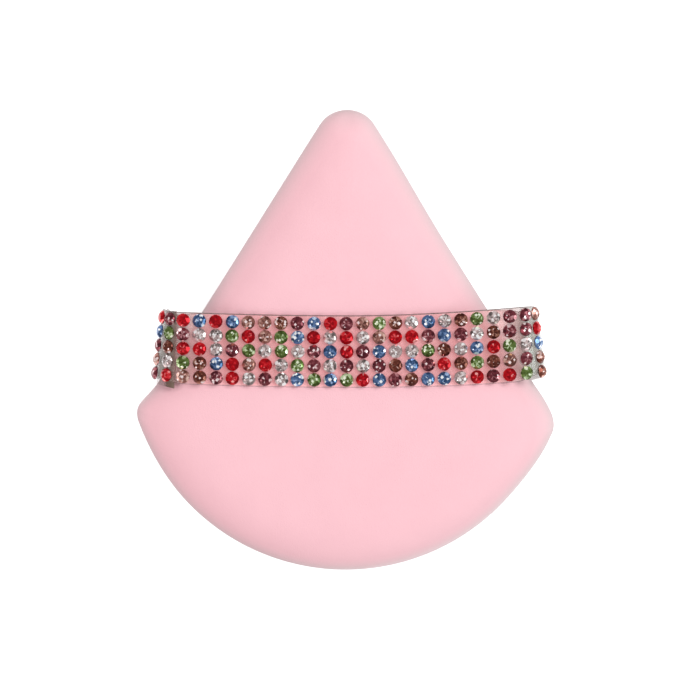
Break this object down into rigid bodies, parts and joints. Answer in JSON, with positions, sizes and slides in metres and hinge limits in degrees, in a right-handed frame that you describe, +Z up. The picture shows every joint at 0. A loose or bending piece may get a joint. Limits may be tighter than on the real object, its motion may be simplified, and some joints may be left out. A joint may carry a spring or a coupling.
{
  "type": "powder puff",
  "caption": "Soft three-cornered velour powder puff with a foam core and a clear finger band set with mixed coloured flat-back stones",
  "frame": {"origin": "the middle of the puff's length and width, on the table under its powder face", "axes": "+Y runs along the puff to its tip, +X across it to the right as seen from the stones, +Z up out of the face under the stones"},
  "size_m": [0.0772, 0.0864, 0.0154],
  "materials": {
    "velour": "matte",
    "foam": "matte",
    "thread": "matte",
    "clear_film": "gloss",
    "bond": "satin",
    "crystal": "polished"
  },
  "bodies": {
    "puff": {"back_cover": "velour", "front_cover": "velour", "foam_core": "foam", "seam_thread": "thread"},
    "band": {"band_strip": "clear_film", "lap_bond": "bond", "stone_column_01": "crystal", "stone_column_02": "crystal", "stone_column_03": "crystal", "stone_column_04": "crystal", "stone_column_05": "crystal", "stone_column_06": "crystal", "stone_column_07": "crystal", "stone_column_08": "crystal", "stone_column_09": "crystal", "stone_column_10": "crystal", "stone_column_11": "crystal", "stone_column_12": "crystal", "stone_column_13": "crystal", "stone_column_14": "crystal", "stone_column_15": "crystal", "stone_column_16": "crystal", "stone_column_17": "crystal", "stone_column_18": "crystal", "stone_column_19": "crystal", "stone_column_20": "crystal", "stone_column_21": "crystal", "stone_column_22": "crystal", "stone_column_23": "crystal", "stone_column_24": "crystal", "stone_column_25": "crystal"}
  },
  "joints": [
    {"name": "band_slide", "type": "slide", "parent": "puff", "child": "band", "axis": [0, 1, 0], "range_m": [0, 0.056]}
  ]
}
